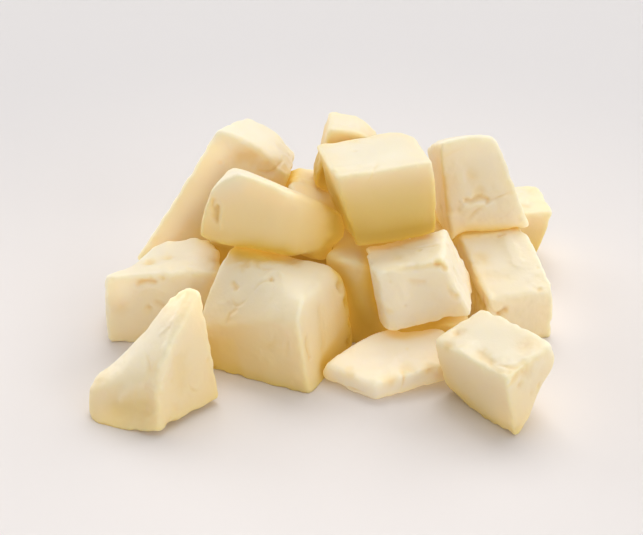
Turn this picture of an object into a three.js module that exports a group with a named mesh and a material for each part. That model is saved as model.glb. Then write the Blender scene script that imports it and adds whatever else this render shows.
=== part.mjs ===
// Cheese curds: a loose heap of fresh, salted curds lying as tipped out on a flat surface.
// Each curd is a chunk milled from a pressed mat of cheese. It has near-flat sides, soft edges
// and a slight swell, and it flattens a little where it presses on its neighbours.
// Millimetres, +Z up, +Y away from the front of the heap.
// The origin is under the middle of the heap, on the surface that it lies on.
import * as THREE from 'three';
import { mergeVertices } from 'three/addons/utils/BufferGeometryUtils.js';

// Driving dimensions.
const EDGE_SOFTNESS = 0.6; // rounding of the edges where two sides meet
const SWELL_HEIGHT = 0.35; // how far a side swells or hollows from flat
const SWELL_LENGTH = 22; // distance between two swells
const SWELL_WAVES = 3; // crossing waves that make up the swell
const SWELL_RISE = 60; // steepest rise or fall of a wave's direction, in degrees
const CONTACT_GAP = 0.8; // air left between curds that press on each other
const SIDE_STEPS = 8; // mesh divisions along each side of a curd
const MARCH_STEP = 0.5; // step outwards from the middle of a curd
const HALVINGS = 16; // halvings that then settle on the surface
const SEED = 20; // start of the repeatable draws
const DRAW_FACTOR = 16807; // each draw's whole number is the last one times this
const DRAW_RANGE = 2147483647; // wrapped at this prime
const CURD_COLOUR = '#f0dcb4';
const CURD_ROUGHNESS = 0.5;

// One entry for each curd, as a block of six flat sides.
// at: its middle; size: its length, depth and height.
// turn: heading (anticlockwise from above), pitch (top towards the front), roll (top to the right).
// leaned: sides that aren't square to the block; cuts: further flat sides. Each is given by the bearing
// and rise of its outward direction in the block's own frame, and its distance from the middle.
// scoops: round hollows where a bit broke away, by bearing, rise, distance and radius. Angles are degrees.
const CURDS = [
  // On the surface, front row.
  { name: 'curd_front_wedge', at: [-44, -32, 14], size: [24, 24, 30], turn: [48, -10, 0],
    leaned: { top: [178, 50, 4], left: [-160, 12, 9], back: [100, 12, 10] },
    cuts: [[95, 38, 4.4], [132, 8, 12.8]], scoops: [[131, 52, 27.5, 25]] },
  { name: 'curd_front_block', at: [-12, -10, 13], size: [32, 28, 27], turn: [-24, 0, 0],
    leaned: { top: [-112, 46, 12], right: [-4, 8, 15.2] }, cuts: [[10, 82, 13]] },
  { name: 'curd_front_slab', at: [17.8, -20.9, 4.8], size: [32.5, 18.5, 6.5], turn: [22, 10, -6],
    leaned: { left: [-145, 0, 12.5], back: [110, 20, 9] } },
  { name: 'curd_front_right', at: [43.5, -33.9, 10], size: [16.5, 25.5, 19], turn: [39, -4, -11],
    cuts: [[-39, -40, 9], [160, -45, 12]] },
  // On the surface, middle and back.
  { name: 'curd_left_block', at: [-42, 5, 10], size: [30, 18, 21], turn: [6, 0, 0],
    scoops: [[150, 40, 35, 25]] },
  { name: 'curd_right_block', at: [47.6, 9.2, 9], size: [18.4, 30, 20], turn: [17, 0, 0],
    leaned: { top: [-90, 73, 10] } },
  { name: 'curd_under_small_cube', at: [27.3, -3, 5], size: [20, 20, 11], turn: [5, 0, 0] },
  { name: 'curd_middle', at: [11.5, 4, 12], size: [19, 21, 26], turn: [-15, 0, 0] },
  { name: 'curd_under_bar', at: [-19.8, 16.8, 13], size: [19, 13, 27], turn: [-12, 0, 0] },
  { name: 'curd_back_middle', at: [1.5, 26.5, 13.7], size: [23, 22, 28.4], turn: [10, 0, 0],
    leaned: { top: [0, 70, 15] } },
  { name: 'curd_back_inner', at: [34.5, 31.5, 9], size: [18, 20, 20], turn: [-8, 0, 0] },
  { name: 'curd_back_right', at: [51.5, 40.5, 8], size: [16, 18, 26], turn: [8, 0, 18],
    leaned: { top: [180, 72, 10.6] } },
  { name: 'curd_back_left', at: [-27, 31.5, 22], size: [24, 17, 47.5], turn: [0, 0, 31],
    leaned: { left: [154, 0, 9] }, cuts: [[-56, 57, 23], [180, 59, 26], [0, 62, 22.6]] },
  // Lying on the others.
  { name: 'curd_top_bar', at: [-10.7, 3, 32.2], size: [37, 14, 17.5], turn: [-12, -6, 14],
    leaned: { top: [76, 69.5, 8.6] }, cuts: [[180, 45, 17.2], [-45, 10, 7.6]] },
  { name: 'curd_small_cube', at: [24.5, -6.9, 20], size: [23, 17, 17.8], turn: [8, -5, -9],
    leaned: { right: [-14, 16, 10.3] }, cuts: [[-150, 0, 12.8]] },
  { name: 'curd_top_cube', at: [14.9, 9.5, 38.2], size: [23.6, 23.5, 21], turn: [14, -4, -3],
    leaned: { left: [180, -11, 11.6] }, cuts: [[45, 45, 17.2]] },
  { name: 'curd_right_upper', at: [40.7, 26.5, 33.4], size: [20.4, 17.5, 29.5], turn: [12, -9, -6],
    leaned: { top: [90, 70, 10.8], right: [0, 14, 8.2] }, cuts: [[132, 64, 13], [33, 56, 9.8]] },
  { name: 'curd_top_back', at: [7, 29, 37.5], size: [15, 12, 20], turn: [0, 0, 14],
    leaned: { top: [180, 80, 10.6] }, cuts: [[0, 59, 9.4]] },
];

// Repeatable draws between 0 and 1.
let drawState = SEED;
function draw() {
  drawState = (drawState * DRAW_FACTOR) % DRAW_RANGE;
  return drawState / DRAW_RANGE;
}

// Unit vector of a bearing and a rise.
function direction(bearing, rise) {
  const phi = Math.PI / 2 - THREE.MathUtils.degToRad(rise);
  const theta = THREE.MathUtils.degToRad(bearing);
  return new THREE.Vector3(Math.sin(phi) * Math.cos(theta), Math.sin(phi) * Math.sin(theta), Math.cos(phi));
}

// Where three flat sides meet.
function cornerOf(one, two, three) {
  const point = new THREE.Vector3();
  for (const [a, b, c] of [[one, two, three], [two, three, one], [three, one, two]]) {
    point.addScaledVector(b.normal.clone().cross(c.normal), a.reach);
  }
  return point.divideScalar(one.normal.dot(two.normal.clone().cross(three.normal)));
}

// A curd ready for measuring: its place in the heap, its flat sides, hollows, eight corners and swell.
function shapeCurd({ name, at, size, turn, leaned = {}, cuts = [], scoops = [] }) {
  const [length, depth, height] = size;
  const [heading, pitch, roll] = turn.map(THREE.MathUtils.degToRad);
  const block = {
    left: [180, 0, length / 2],
    right: [0, 0, length / 2],
    front: [-90, 0, depth / 2],
    back: [90, 0, depth / 2],
    bottom: [0, -90, height / 2],
    top: [0, 90, height / 2],
    ...leaned,
  };
  const flat = ([bearing, rise, reach]) => ({ normal: direction(bearing, rise), reach });
  const side = Object.fromEntries(Object.entries(block).map(([key, value]) => [key, flat(value)]));
  const corners = [];
  for (const across of [side.left, side.right]) {
    for (const along of [side.front, side.back]) {
      corners.push([side.bottom, side.top].map((upright) => cornerOf(across, along, upright)));
    }
  }
  const pace = (2 * Math.PI) / SWELL_LENGTH;
  const waves = Array.from({ length: SWELL_WAVES }, () => ({
    vector: direction(360 * draw(), SWELL_RISE * (2 * draw() - 1)).multiplyScalar(pace),
    phase: 2 * Math.PI * draw(),
  }));
  const place = new THREE.Matrix4().compose(
    new THREE.Vector3(...at),
    new THREE.Quaternion().setFromEuler(new THREE.Euler(pitch, roll, heading, 'ZXY')),
    new THREE.Vector3(1, 1, 1),
  );
  const sides = [...Object.values(side), ...cuts.map(flat)];
  const hollows = scoops.map(([bearing, rise, distance, radius]) => (
    { middle: direction(bearing, rise).multiplyScalar(distance), radius }));
  return { name, sides, hollows, corners: corners.flat(), waves, place, unplace: place.clone().invert() };
}

// Distance of a point in the heap from a curd's own surface, below zero inside it.
function depthIn(curd, point) {
  const own = point.clone().applyMatrix4(curd.unplace);
  let sum = 0;
  for (const { normal, reach } of curd.sides) {
    sum += Math.exp((normal.dot(own) - reach) / EDGE_SOFTNESS);
  }
  for (const { middle, radius } of curd.hollows) {
    sum += Math.exp((radius - middle.distanceTo(own)) / EDGE_SOFTNESS);
  }
  let swell = 0;
  for (const { vector, phase } of curd.waves) {
    swell += (SWELL_HEIGHT / SWELL_WAVES) * Math.sin(vector.dot(own) + phase);
  }
  return EDGE_SOFTNESS * Math.log(sum) - swell;
}

// The same distance once the curd lies in the heap: flat on the surface below it, and pressed flat
// halfway into each neighbour that it would otherwise share space with.
function depthInHeap(curd, point, neighbours) {
  const alone = depthIn(curd, point);
  let depth = Math.max(alone, -point.z);
  for (const neighbour of neighbours) {
    depth = Math.max(depth, (alone - depthIn(neighbour, point) + CONTACT_GAP) / 2);
  }
  return depth;
}

// A block divided evenly, its rows crowded towards the edges and spread between the curd's corners,
// with each point moved along its line from the middle until it is on the curd's surface.
// The corners run left to right, then front to back, then bottom to top.
function curdGeometry(curd, neighbours) {
  const block = new THREE.BoxGeometry(2, 2, 2, SIDE_STEPS, SIDE_STEPS, SIDE_STEPS);
  block.deleteAttribute('normal');
  block.deleteAttribute('uv');
  const geometry = mergeVertices(block);
  const points = geometry.getAttribute('position');
  const shares = (u) => [(1 - Math.sin((u * Math.PI) / 2)) / 2, (1 + Math.sin((u * Math.PI) / 2)) / 2];
  for (let i = 0; i < points.count; i += 1) {
    const [across, along, upright] = [points.getX(i), points.getY(i), points.getZ(i)].map(shares);
    const line = new THREE.Vector3();
    curd.corners.forEach((corner, k) => {
      line.addScaledVector(corner, across[k >> 2] * along[(k >> 1) & 1] * upright[k & 1]);
    });
    line.normalize();
    const depthAt = (reach) =>
      depthInHeap(curd, line.clone().multiplyScalar(reach).applyMatrix4(curd.place), neighbours);
    let inner = 0;
    while (depthAt(inner + MARCH_STEP) < 0) {
      inner += MARCH_STEP;
    }
    let outer = inner + MARCH_STEP;
    for (let k = 0; k < HALVINGS; k += 1) {
      const middle = (inner + outer) / 2;
      if (depthAt(middle) < 0) {
        inner = middle;
      } else {
        outer = middle;
      }
    }
    points.setXYZ(i, ...line.multiplyScalar(inner).toArray());
  }
  geometry.computeVertexNormals();
  return geometry;
}

const curds = CURDS.map(shapeCurd);
const heap = new THREE.Group();
for (const curd of curds) {
  const neighbours = curds.filter((other) => other !== curd);
  const material = new THREE.MeshStandardMaterial({
    color: CURD_COLOUR,
    roughness: CURD_ROUGHNESS,
    metalness: 0,
  });
  const mesh = new THREE.Mesh(curdGeometry(curd, neighbours), material);
  mesh.name = curd.name;
  mesh.applyMatrix4(curd.place);
  heap.add(mesh);
}

// Set the heap on its surface with its footprint centred on the origin.
const box = new THREE.Box3().setFromObject(heap, true);
const centre = box.getCenter(new THREE.Vector3());
heap.position.set(-centre.x, -centre.y, -box.min.z);

export default heap;
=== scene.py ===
import itertools
import math

import bmesh
import bpy
import numpy as np
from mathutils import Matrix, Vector
from mathutils.bvhtree import BVHTree


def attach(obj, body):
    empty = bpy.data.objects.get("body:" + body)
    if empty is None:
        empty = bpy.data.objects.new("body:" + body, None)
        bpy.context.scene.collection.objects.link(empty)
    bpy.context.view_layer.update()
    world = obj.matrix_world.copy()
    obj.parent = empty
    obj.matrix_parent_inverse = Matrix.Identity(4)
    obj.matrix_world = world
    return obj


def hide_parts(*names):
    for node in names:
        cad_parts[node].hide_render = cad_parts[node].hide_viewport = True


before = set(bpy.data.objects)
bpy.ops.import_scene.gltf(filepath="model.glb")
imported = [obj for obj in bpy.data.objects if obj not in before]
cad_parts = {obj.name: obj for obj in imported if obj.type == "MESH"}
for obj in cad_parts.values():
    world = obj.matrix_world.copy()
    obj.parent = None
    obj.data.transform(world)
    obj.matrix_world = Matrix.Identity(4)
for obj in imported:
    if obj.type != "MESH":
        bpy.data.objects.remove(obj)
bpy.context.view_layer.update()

scene = bpy.context.scene

# The viewpoint: the heap is seen from the front and from above, through a long lens that keeps
# the sides of the curds nearly parallel.
MM = 0.001
SENSOR_MM = 36
LENS_MM = 97
VIEW_RISE = math.radians(30)
VIEW_DISTANCE = 450 * MM
AIM = Vector((-3.18, -0.82, 20)) * MM

camera = bpy.data.objects.new("camera", bpy.data.cameras.new("camera"))
camera.data.sensor_width = SENSOR_MM
camera.data.lens = LENS_MM
camera.data.clip_start = VIEW_DISTANCE / 100  # nearer than anything shown
camera.location = AIM + VIEW_DISTANCE * Vector((0, -math.cos(VIEW_RISE), math.sin(VIEW_RISE)))
camera.rotation_euler = (math.pi / 2 - VIEW_RISE, 0, 0)
scene.collection.objects.link(camera)
scene.camera = camera
bpy.context.view_layer.update()


# The curds of the front row: fresh cheese, milled from a pressed mat while still soft and springy.
# The mill leaves some sides cut smooth and tears others along the grain, so these are furrowed and pitted.
# Nothing fixes them: they lie on the surface by their own weight.

# Fresh curd is waxy and moist, so it shows a satin sheen. It lets light far in, and what comes out again
# in the gaps and hollows is gold-coloured, because the milk fat and the whey take out the blue. That gold
# shade is painted into the colour as well, and the gaps get a painted glow.
PALE = "#fcebd5"
CREAM = "#fbe8ca"
PAINTED_SHADE_GOLD = "#d6bf5e"  # colour of the painted shade: what a long way through the cheese leaves of white light
PATCH_MM = 8  # width of the paler and yellower patches
SHEEN_MM = 3  # width of the moister and drier spots
ROUGHNESS = (0.36, 0.56)  # from moist to dry
GRAIN_MM = 0.7  # the real grain of about 0.2 mm is too fine to show, so it is drawn coarser
GRAIN_DEPTH_MM = 0.04
GLOW_MM = 3  # how far light spreads inside the cheese
GLOW_BY_COLOUR = (1, 1, 0.7)  # share of that in red, green and blue
CHEESE_IOR = 1.45  # water and milk fat
DETAIL = 3  # finer and finer layers in the patches and the grain
SHARE, FIRST, SECOND, MIXED = 0, 6, 7, 2  # sockets of a mix of colours, which share their names with others


def linear(colour):
    """An sRGB hex colour as linear red, green, blue and alpha."""
    parts = [int(colour[k:k + 2], 16) / 255 for k in (1, 3, 5)]
    return (*[p / 12.92 if p <= 0.04045 else ((p + 0.055) / 1.055) ** 2.4 for p in parts], 1)


def add_node(tree, kind, inputs=None, **settings):
    """A node with its settings, and its inputs set to values or linked to other nodes' outputs."""
    made = tree.nodes.new(kind)
    for name, value in settings.items():
        setattr(made, name, value)
    for socket, value in (inputs or {}).items():
        if isinstance(value, bpy.types.NodeSocket):
            tree.links.new(value, made.inputs[socket])
        else:
            made.inputs[socket].default_value = value
    return made


curd_cheese = bpy.data.materials.new("fresh_milled_curd")
curd_cheese.use_nodes = True
curd_cheese.cycles.emission_sampling = "NONE"  # a painted glow, too weak to be treated as a lamp
tree = curd_cheese.node_tree
tree.nodes.clear()
place = add_node(tree, "ShaderNodeTexCoord").outputs["Object"]
patches = add_node(tree, "ShaderNodeTexNoise", {
    "Vector": place, "Scale": 1 / (PATCH_MM * MM), "Detail": DETAIL})
cream = add_node(tree, "ShaderNodeMix", {
    SHARE: patches.outputs["Fac"], FIRST: linear(PALE), SECOND: linear(CREAM)}, data_type="RGBA")
# Painted shade: the cream is multiplied by a gold colour, darker and yellower where little light reaches
# the curd
painted_shade_tint = add_node(tree, "ShaderNodeAttribute", attribute_name="painted_shade_tint")
painted_shade_colour = add_node(tree, "ShaderNodeGamma", {"Color": linear(PAINTED_SHADE_GOLD), "Gamma": painted_shade_tint.outputs["Fac"]})
colour = add_node(tree, "ShaderNodeMix", {
    SHARE: 1, FIRST: cream.outputs[MIXED], SECOND: painted_shade_colour.outputs["Color"],
}, data_type="RGBA", blend_type="MULTIPLY")
# Painted glow: the curd's own colour shines out in the gaps and thin parts, standing in for light coming
# through the cheese
painted_glow = add_node(tree, "ShaderNodeAttribute", attribute_name="painted_glow")
sheen = add_node(tree, "ShaderNodeTexNoise", {"Vector": place, "Scale": 1 / (SHEEN_MM * MM)})
gloss = add_node(tree, "ShaderNodeMapRange", {
    "Value": sheen.outputs["Fac"], "To Min": ROUGHNESS[0], "To Max": ROUGHNESS[1]})
grain = add_node(tree, "ShaderNodeTexNoise", {
    "Vector": place, "Scale": 1 / (GRAIN_MM * MM), "Detail": DETAIL})
relief = add_node(tree, "ShaderNodeBump", {"Height": grain.outputs["Fac"], "Distance": GRAIN_DEPTH_MM * MM})
cheese = add_node(tree, "ShaderNodeBsdfPrincipled", {
    "Base Color": colour.outputs[MIXED],
    "Roughness": gloss.outputs["Result"],
    "IOR": CHEESE_IOR,
    "Normal": relief.outputs["Normal"],
    "Subsurface Weight": 1,
    "Subsurface Radius": GLOW_BY_COLOUR,
    "Subsurface Scale": GLOW_MM * MM,
    "Emission Color": colour.outputs[MIXED],
    "Emission Strength": painted_glow.outputs["Fac"],
})
add_node(tree, "ShaderNodeOutputMaterial", {"Surface": cheese.outputs["BSDF"]})

WELD_MM = 0.01  # points of a solid nearer than this are one
PAIR_ANGLE = 1  # radians: triangles that differ less make one face
ROUNDING_LEVELS = 2  # times that the coarse faces are divided into rounder ones
FINE_MM = 0.4  # mesh size of the finished surface
EVEN_ROUNDS = 8  # rounds of smoothing that take the steps out of the fine mesh
EASE_ROUNDS = 40  # further rounds that round the edges off, to find them
EDGE_BULGE_MM = 0.25  # what stands out this far from the rounded form is an edge in full
CRISP = 1.6  # how far the smoothed edges are drawn out again, as a share of their rounding
EDGE_MM = 1  # deepest bite out of a crumbled edge
EDGE_WIDTH_MM = 2.2
EDGE_CUT = 0.3  # share of that bite on a smoothly cut curd
EDGE_SPREAD = 0.2  # how far the bites go beyond half of the edges
SWELL_MM = 0.3  # soft waves all over, from the curd's own springiness
SWELL_WIDTH_MM = 7
TEAR_WIDTH_MM = 9  # size of the torn places
TEAR_CLEAR = 1.5  # how clearly they end
TEAR_GROWTH = 2  # how fast they grow with the torn share of the curd
TEAR_LEAST = 0.7  # what that has to pass before they cover half of it
LUMP_MM = 0.3  # lumps on the torn places
LUMP_WIDTH_MM = 2.4
CRUMB_MM = 0.1  # crumbs on the torn places
CRUMB_WIDTH_MM = 1
FURROW_MM = 0.5  # furrows along the torn grain
FURROW_APART_MM = 5
FURROW_THIN = 7  # how much narrower a furrow is than the space to the next
FURROW_DRAWN = 0.7  # how far furrows are drawn out along the grain
FURROW_PATCH_MM = 6  # furrows come in patches of this size
FURROW_CLEAR = 2  # how clearly these end
PIT_MM = (0.4, 0.9)  # half widths of the holes left by gas and whey
PIT_DEPTH = 0.35  # as a share of the half width
PITS_CUT = 1  # number of holes in a smoothly cut curd
PITS_TORN = 6  # holes more in a torn one
RAGGED = 0.6  # unevenness of a mark's rim
RAGGED_WIDTH_MM = 1.1
RAGGED_REACH_MM = 1  # further from a mark's middle it doesn't grow
PROUD_MM = 0.35  # nothing stands further out than this, which keeps neighbours apart

# What each place looks like depends on the light that it gets, and this is painted into its colour: painted
# gold shade where light comes from deep in the cheese, cream where it falls on the curd straight away,
# and a painted glow in the gaps and thin parts.
GOLD_DEPTH_MM = 4  # a hollow this deep gets the full painted gold shade
SHADE_REACH_MM = 40  # neighbours further away than this don't shade a side
SIDE_GOLD = 1.15  # painted gold shade on the clearest side that no light from above meets
SIDE_TOP = 0.3  # share of that at the top of a side
SIDE_FALL = 1.4  # what is added to that share down to the foot
GAP_GOLD = 0.8  # painted gold shade on a place that other curds cover closely
GAP_REACH_MM = 12  # a curd further away than this doesn't cover a side
GAP_LIGHT = 0.28  # painted glow in the gaps, for light that comes through the curds, as a share of full white
GAP_CLEAR = 1.2  # how well a smoothly cut side shows these, which a torn one shows less
DARK_BELOW = 1 / 3  # a place that gets less light from above than this counts as hidden
DARK_SHARE = 0.5  # how much that counts beside a curd that covers the place
THIN_MM = 16  # a curd thinner than this gets a painted glow and gold tint, for the light that comes through it
THIN_LIGHT = 0.4  # strength of that painted glow, as a share of full white
THIN_GOLD = 0.8  # painted gold tint that it gives the clearest curd
LOOK_WAYS = 64  # directions in which each place looks round for neighbours
LOOK_FROM_MM = 0.2  # distance from the surface at which it starts
SPREAD_MM = 2  # how far a corner's values spread over the fine mesh
SPREAD_BACK = 0.02  # share of them that reaches a side facing away
TINY = 1e-9  # keeps divisions clear of zero

IMAGE_WIDTH = 643  # pixels of the picture in which the marks are placed
IMAGE_HEIGHT = 535


def sight(pixel):
    """Unit direction from the camera through a pixel of the picture."""
    across = (pixel[0] - IMAGE_WIDTH / 2) * SENSOR_MM / IMAGE_WIDTH / LENS_MM
    down = (pixel[1] - IMAGE_HEIGHT / 2) * SENSOR_MM / IMAGE_WIDTH / LENS_MM
    return (camera.matrix_world.to_3x3() @ Vector((across, -down, -1))).normalized()


def lumps(points, width, seed):
    """Smooth random values from -1 to 1 that change over about this width."""
    count = 32  # widths after which the values repeat
    values = np.random.default_rng(seed).uniform(-1, 1, (count,) * 3)
    cell = np.floor(points / width).astype(int)
    part = points / width - cell
    part = part * part * (3 - 2 * part)
    total = np.zeros(len(points))
    for corner in itertools.product((0, 1), repeat=3):
        weight = np.prod(np.where(corner, part, 1 - part), axis=1)
        total += weight * values[tuple((cell + corner).T % count)]
    return total


def distance_to(points, path):
    """Distance of each point from a path of straight stretches, or from a single spot."""
    nearest = np.full(len(points), np.inf)
    for start, end in zip(path, path[1:] or path):
        stretch = end - start
        share = np.clip((points - start) @ stretch / max(stretch @ stretch, TINY), 0, 1)
        nearest = np.minimum(nearest, np.linalg.norm(points - start - share[:, None] * stretch, axis=1))
    return nearest


def read_points(mesh):
    """A mesh's points in millimetres and their normals."""
    points = np.empty(len(mesh.vertices) * 3)
    normals = np.empty(len(mesh.vertices) * 3)
    mesh.vertices.foreach_get("co", points)
    mesh.vertex_normals.foreach_get("vector", normals)
    return points.reshape(-1, 3) / MM, normals.reshape(-1, 3)


def tree_of(meshes):
    """The faces of several meshes, ready for finding where a line meets them."""
    corners = []
    faces = []
    for mesh in meshes:
        faces += [[len(corners) + k for k in face.vertices] for face in mesh.polygons]
        corners += [vertex.co.copy() for vertex in mesh.vertices]
    return BVHTree.FromPolygons(corners, faces)


def welded(node):
    """A solid's mesh with its points joined and its triangles paired, ready to be smoothed."""
    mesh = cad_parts[node].data.copy()
    work = bmesh.new()
    work.from_mesh(mesh)
    bmesh.ops.remove_doubles(work, verts=work.verts, dist=WELD_MM * MM)
    bmesh.ops.join_triangles(work, faces=work.faces, angle_face_threshold=PAIR_ANGLE,
                             angle_shape_threshold=PAIR_ANGLE)
    work.to_mesh(mesh)
    work.free()
    return mesh


def modified(mesh, *steps):
    """A copy of a mesh after modifiers, each given by its kind and its settings."""
    block = bpy.data.objects.new("block", mesh)
    scene.collection.objects.link(block)
    for kind, settings in steps:
        step = block.modifiers.new(kind, kind)
        for name, value in settings.items():
            setattr(step, name, value)
    made = bpy.data.meshes.new_from_object(block.evaluated_get(bpy.context.evaluated_depsgraph_get()))
    bpy.data.objects.remove(block)
    return made


heap = tree_of([node.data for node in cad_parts.values()])
turn = math.pi * (3 - math.sqrt(5))  # the golden angle, which spreads the directions evenly
around = []
for k in range(LOOK_WAYS):
    rise = 1 - (2 * k + 1) / LOOK_WAYS
    level = math.sqrt(1 - rise ** 2)
    around.append((math.cos(k * turn) * level, math.sin(k * turn) * level, rise))
around = np.array(around)


def surroundings(corners, ways, points, normals):
    """For each point, the share of the light from above that reaches it past the curds (1 on an open top, a
    half on an open side), how closely other curds cover it and how thin its own curd is there, from 0 to 1.
    They are worked out at the corners of a coarse mesh and spread from there."""
    shares = []
    for corner, way in zip(corners, ways):
        facing = np.clip(around @ way, 0, None)
        start = Vector((corner + LOOK_FROM_MM * way) * MM)
        reach = np.full(len(around), SHADE_REACH_MM)
        for k in np.flatnonzero(facing):
            hit = heap.ray_cast(start, Vector(around[k]), SHADE_REACH_MM * MM)[3]
            reach[k] = SHADE_REACH_MM if hit is None else hit / MM
        free = (reach == SHADE_REACH_MM) & (around[:, 2] > 0)
        above = facing[free].sum() / around[around[:, 2] > 0, 2].sum()
        covered = facing @ np.clip(1 - reach / GAP_REACH_MM, 0, 1) / facing.sum()
        inside = Vector((corner - LOOK_FROM_MM * way) * MM)
        far_side = heap.ray_cast(inside, Vector(-way), THIN_MM * MM)[3]
        shares.append((above, covered, 0 if far_side is None else 1 - far_side / MM / THIN_MM))
    total = np.zeros((len(points), 3))
    weights = np.full(len(points), TINY)
    for corner, way, values in zip(corners, ways, shares):
        weight = np.exp(-np.sum((points - corner) ** 2, axis=1) / (2 * SPREAD_MM ** 2))
        weight *= np.clip(normals @ way, SPREAD_BACK, 1)
        total += weight[:, None] * values
        weights += weight
    return (total / weights[:, None]).T


def make_curd(node, seed, torn, clear, marks=()):
    """A curd's finished surface, made from its solid.
    seed: where its own random draws start.
    torn: share of torn surface, 0 to 1.
    clear: how strong the painted gold shade on its shaded sides and thin parts is, 0 to 1.
    marks: for each its depth and its half width in millimetres and the pixels that it passes. A mark whose
    depth is below 0 stands out."""
    coarse = welded(node)
    fine = modified(coarse, ("SUBSURF", {"levels": ROUNDING_LEVELS, "render_levels": ROUNDING_LEVELS}),
                    ("REMESH", {"mode": "VOXEL", "voxel_size": FINE_MM * MM}),
                    ("SMOOTH", {"factor": 0.5, "iterations": EVEN_ROUNDS}))
    points, normals = read_points(fine)
    count = len(points)

    # Edges are where the surface stands out from a copy of it that is smoothed further.
    eased = modified(fine, ("SMOOTH", {"factor": 0.5, "iterations": EASE_ROUNDS}))
    bulge = np.clip(np.sum((points - read_points(eased)[0]) * normals, axis=1), 0, None)
    edge = np.clip(bulge / EDGE_BULGE_MM, 0, 1)

    # What stands out or is broken off all over: swell, lumps, crumbs and bites out of the edges.
    draws = np.random.default_rng(seed)
    where_torn = TEAR_CLEAR * lumps(points, TEAR_WIDTH_MM, seed + 1) + TEAR_GROWTH * torn - TEAR_LEAST
    where_torn = np.clip(where_torn, 0, 1)
    height = SWELL_MM * lumps(points, SWELL_WIDTH_MM, seed + 2)
    height += where_torn * LUMP_MM * lumps(points, LUMP_WIDTH_MM, seed + 3)
    height += where_torn * CRUMB_MM * lumps(points, CRUMB_WIDTH_MM, seed + 4)
    bite = EDGE_MM * (EDGE_CUT + (1 - EDGE_CUT) * torn)
    height -= edge * bite * np.clip(EDGE_SPREAD + lumps(points, EDGE_WIDTH_MM, seed + 5), 0, 1)

    # Furrows along the grain of the torn places, and holes anywhere.
    grain_way = draws.normal(size=3)
    grain_way /= np.linalg.norm(grain_way)
    drawn_out = points - FURROW_DRAWN * (points @ grain_way)[:, None] * grain_way
    furrow = np.clip(1 - FURROW_THIN * np.abs(lumps(drawn_out, FURROW_APART_MM, seed + 6)), 0, 1)
    furrow *= np.clip(FURROW_CLEAR * lumps(points, FURROW_PATCH_MM, seed + 7), 0, 1)
    hollow = where_torn * FURROW_MM * furrow
    for _ in range(int(PITS_CUT + PITS_TORN * torn)):
        half_width = draws.uniform(*PIT_MM)
        spot = points[draws.integers(count)]
        hollow += PIT_DEPTH * half_width * np.exp(-(distance_to(points, [spot]) / half_width) ** 2)

    # The marks that this curd has at places of its own.
    surface = tree_of([fine])
    ragged = RAGGED * lumps(points, RAGGED_WIDTH_MM, seed + 8)
    for depth, half_width, *pixels in marks:
        path = []
        for pixel in pixels:
            spot = surface.ray_cast(camera.location, sight(pixel))[0]
            if spot is None:
                spot = surface.find_nearest(camera.location + VIEW_DISTANCE * sight(pixel))[0]
            path.append(np.array(spot) / MM)
        away = distance_to(points, path)
        away += ragged * np.minimum(away, RAGGED_REACH_MM)
        hollow += depth * np.exp(-(away / half_width) ** 2)

    # Painted light and shade: the painted gold shade at each place, and the painted glow that stands in for
    # light coming through the cheese there.
    above, covered, thin = surroundings(*read_points(coarse), points, normals)
    drop = (points[:, 2].max() - points[:, 2]) / np.ptp(points[:, 2])
    hidden = (GAP_CLEAR - torn) * (covered ** 2 + DARK_SHARE * np.clip(1 - above / DARK_BELOW, 0, 1))
    painted_shade_tint = clear * (SIDE_GOLD * (1 - above) * (SIDE_TOP + SIDE_FALL * drop) + THIN_GOLD * thin)
    painted_shade_tint += GAP_GOLD * hidden + np.clip(hollow / GOLD_DEPTH_MM, 0, 1)
    painted_glow = GAP_LIGHT * hidden + THIN_LIGHT * thin * (1 - covered)

    points = points + normals * (np.minimum(height - hollow, PROUD_MM) + CRISP * bulge)[:, None]
    points[:, 2] = np.maximum(points[:, 2], 0)
    fine.vertices.foreach_set("co", (points * MM).ravel())
    for name, values in (("painted_shade_tint", np.clip(painted_shade_tint, 0, 1)), ("painted_glow", painted_glow)):
        fine.attributes.new(name, "FLOAT", "POINT").data.foreach_set("value", values)
    fine.polygons.foreach_set("use_smooth", [True] * len(fine.polygons))
    fine.materials.clear()
    fine.materials.append(curd_cheese)
    fine.update()
    piece = bpy.data.objects.new(node.replace("curd", "cheese"), fine)
    scene.collection.objects.link(piece)
    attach(piece, "root")
    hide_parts(node)


make_curd("curd_front_wedge", seed=100, torn=0.3, clear=0.22, marks=[
    (-0.3, 1.0, (187, 292), (176, 320), (166, 345), (167, 365), (160, 387)),
    (-0.3, 1.0, (118, 400), (128, 386), (145, 382), (160, 387)),
    (-0.2, 0.7, (160, 333), (170, 325), (178, 315)),
    (0.7, 3.5, (118, 408), (142, 408)),
    (0.3, 2.5, (180, 360), (182, 385)),
])
make_curd("curd_front_block", seed=110, torn=0.15, clear=0.28, marks=[
    (0.9, 2.6, (238, 254), (262, 257), (292, 260)),
    (0.5, 0.7, (233, 283), (237, 288)),
    (0.35, 0.6, (227, 319), (229, 314), (236, 309)),
    (-0.3, 0.9, (264, 278), (268, 274), (279, 272), (284, 276)),
    (0.35, 0.8, (271, 279)),
    (0.4, 1.6, (243, 265)),
    (0.4, 0.7, (307, 338), (307, 346), (310, 357)),
    (0.3, 1.6, (320, 310), (324, 345)),
    (0.9, 1.3, (339, 285)),
    (0.9, 1.2, (346, 301)),
    (0.9, 1.2, (352, 322)),
    (0.9, 1.4, (355, 342)),
    (0.5, 0.8, (214, 368)),
    (0.5, 0.8, (231, 373)),
])
make_curd("curd_front_slab", seed=120, torn=0.6, clear=0, marks=[
    (0.7, 1.4, (430, 370)),
    (0.7, 1.6, (391, 381)),
    (0.3, 0.4, (407, 349)),
    (0.4, 1.6, (348, 373)),
])
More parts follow.
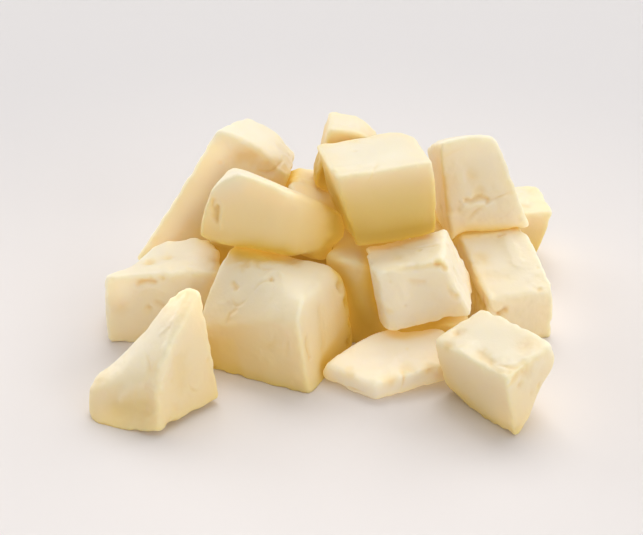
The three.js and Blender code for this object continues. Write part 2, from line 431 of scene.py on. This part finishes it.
make_curd("curd_front_right", seed=130, torn=0.4, clear=0.2, marks=[
    (0.5, 1.4, (480, 352), (487, 360)),
    (0.3, 0.9, (490, 362), (499, 371)),
    (-0.3, 1.6, (462, 350), (470, 345)),
    (0.4, 1.6, (509, 372)),
    (0.4, 1.0, (520, 385)),
    (0.4, 0.9, (539, 387)),
    (0.6, 1.4, (457, 333)),
    (0.5, 1.4, (447, 346)),
    (0.3, 2.4, (525, 345)),
])


# The curds of the middle and the back, which stand on the surface behind the front row. They are the same
# cheese from the same mill, and two of them are hidden below others.
make_curd("curd_left_block", seed=200, torn=0.7, clear=0.05, marks=[
    (0.7, 0.8, (140, 283), (147, 281), (154, 282)),
    (-0.35, 1.2, (138, 292), (146, 287), (158, 288), (175, 292)),
    (-0.35, 1.4, (166, 271), (172, 276)),
    (0.5, 0.8, (163, 278)),
    (0.6, 0.8, (149, 308)),
    (0.35, 0.8, (157, 303), (166, 307)),
    (0.3, 1.6, (122, 308)),
    (0.9, 1.8, (150, 262)),
    (0.6, 1.4, (168, 256)),
    (-0.3, 1.4, (153, 268), (180, 262)),
])
make_curd("curd_right_block", seed=210, torn=0.5, clear=0.1, marks=[
    (-0.6, 1.8, (464, 237), (482, 234), (502, 232), (524, 230)),
    (0.7, 1.4, (452, 245), (462, 266), (474, 290), (483, 307)),
    (0.6, 0.7, (499, 236), (504, 235)),
    (0.5, 2.2, (480, 256)),
    (0.25, 1.8, (488, 276), (505, 277)),
    (0.6, 0.9, (539, 290)),
    (0.8, 0.8, (499, 315), (505, 311)),
])
make_curd("curd_under_small_cube", seed=220, torn=0.4, clear=0.6)
make_curd("curd_middle", seed=230, torn=0.4, clear=0.7)
make_curd("curd_under_bar", seed=240, torn=0.4, clear=0.6)
make_curd("curd_back_middle", seed=250, torn=0.4, clear=0.5)
make_curd("curd_back_inner", seed=260, torn=0.4, clear=0.4)
make_curd("curd_back_right", seed=270, torn=0.4, clear=0.6)
make_curd("curd_back_left", seed=280, torn=0.4, clear=0.06, marks=[
    (0.7, 2.4, (242, 158), (252, 158)),
    (0.4, 2.0, (268, 167), (286, 170)),
    (0.3, 0.4, (221, 163)),
])


# The curds that lie on the others: a bar, two cubes, a leaning block and a small pointed bit. They are the
# same milled cheese, and rest where they fell, flattened a little at the places that carry them.
make_curd("curd_top_bar", seed=300, torn=0.2, clear=0.42, marks=[
    (0.7, 0.7, (218, 207), (216, 220)),
    (-0.25, 0.7, (222, 205), (221, 228)),
    (0.5, 0.8, (213, 200), (212, 206)),
])
make_curd("curd_small_cube", seed=310, torn=0.6, clear=0, marks=[
    (0.9, 0.7, (437, 264), (442, 265), (446, 269)),
    (0.35, 0.8, (437, 265), (412, 268), (389, 270)),
    (0.3, 0.4, (390, 282)),
    (0.3, 0.4, (405, 306)),
    (0.4, 0.7, (419, 251)),
    (0.3, 0.8, (412, 282), (424, 282)),
    (-0.25, 0.9, (400, 283), (405, 296)),
    (0.3, 2.0, (398, 258)),
    (0.4, 1.0, (388, 311)),
])
make_curd("curd_top_cube", seed=320, torn=0.1, clear=1)
make_curd("curd_right_upper", seed=330, torn=0.4, clear=0.05, marks=[
    (0.7, 0.7, (466, 200), (471, 201), (479, 198), (488, 200)),
    (-0.35, 1.0, (464, 206), (477, 204), (492, 204)),
    (-0.3, 1.4, (449, 172), (455, 168), (461, 180)),
    (0.4, 2.0, (471, 177)),
    (0.4, 1.6, (479, 192)),
    (-0.6, 1.6, (462, 229), (480, 227), (500, 225), (524, 223)),
])
make_curd("curd_top_back", seed=340, torn=0.4, clear=0.8)


# The surface below: a seamless sheet of plain pale paper, matte, wide enough that its edges don't show.
# It lies flat, and the curds stand on it.
FLOOR_NEAR = "#ebe5e2"  # painted light: the sheet's colour fades away from the heap, as its light does
FLOOR_FAR = "#dedad9"
LIT_Y_MM = -20  # the sheet's painted light is brightest around this place
LIT_NEAR_MM = 70
LIT_FAR_MM = 220
FLOOR_ROUGHNESS = 0.9  # dull paper, without any sheen
FLOOR_REACH_MM = 3000
FLOOR_DROP_MM = 0.02  # keeps the sheet clear of the flat undersides

sheet_paper = bpy.data.materials.new("matte_white_sheet")
sheet_paper.use_nodes = True
tree = sheet_paper.node_tree
tree.nodes.clear()
# Painted light: the paper darkens with distance from where the sheet is lit most
spot = add_node(tree, "ShaderNodeTexCoord").outputs["Object"]
apart = add_node(tree, "ShaderNodeVectorMath", {0: spot, 1: (0, LIT_Y_MM * MM, 0)}, operation="DISTANCE")
fade = add_node(tree, "ShaderNodeMapRange", {
    "Value": apart.outputs["Value"], "From Min": LIT_NEAR_MM * MM, "From Max": LIT_FAR_MM * MM,
}, interpolation_type="SMOOTHSTEP")
paper = add_node(tree, "ShaderNodeMix", {
    SHARE: fade.outputs["Result"], FIRST: linear(FLOOR_NEAR), SECOND: linear(FLOOR_FAR)}, data_type="RGBA")
matte = add_node(tree, "ShaderNodeBsdfPrincipled", {
    "Base Color": paper.outputs[MIXED], "Roughness": FLOOR_ROUGHNESS, "Specular IOR Level": 0})
add_node(tree, "ShaderNodeOutputMaterial", {"Surface": matte.outputs["BSDF"]})
floor_mesh = bpy.data.meshes.new("floor")
floor_mesh.from_pydata(
    [(x * FLOOR_REACH_MM * MM, y * FLOOR_REACH_MM * MM, -FLOOR_DROP_MM * MM)
     for x, y in ((-1, -1), (1, -1), (1, 1), (-1, 1))],
    [], [(0, 1, 2, 3)])
floor_mesh.materials.append(sheet_paper)
floor = bpy.data.objects.new("floor", floor_mesh)
scene.collection.objects.link(floor)


# Soft studio light from broad windows all round the heap and one above it, the strongest behind it and at
# the front right. Each row gives a window's bearing from the front towards the right and its height above
# the floor, both in degrees, and its strength.
WINDOW_WIDTH = 40  # degrees across, which keeps the shadows soft
STUDIO_FILL = 0.03  # faint light from everywhere
WINDOWS = [
    ("above", 0, 90, 0.56),
    ("front", 0, 38, 0.31),
    ("front_right", 45, 16, 0.98),
    ("right", 90, 38, 0.42),
    ("back_right", 135, 31, 0.98),
    ("back", 180, 55, 1.3),
    ("back_left", 225, 17, 0.98),
    ("left", 270, 12, 0.4),
    ("front_left", 315, 16, 0.36),
]

for name, bearing, rise, strength in WINDOWS:
    lamp = bpy.data.lights.new(name, "SUN")
    lamp.angle = math.radians(WINDOW_WIDTH)
    lamp.energy = strength
    window = bpy.data.objects.new(name, lamp)
    window.rotation_euler = (math.radians(90 - rise), 0, math.radians(bearing))
    scene.collection.objects.link(window)
world = bpy.data.worlds.new("studio")
world.use_nodes = True
fill = world.node_tree.nodes["Background"]
fill.inputs["Color"].default_value = (1, 1, 1, 1)
fill.inputs["Strength"].default_value = STUDIO_FILL
scene.world = world
scene.view_settings.view_transform = "Standard"
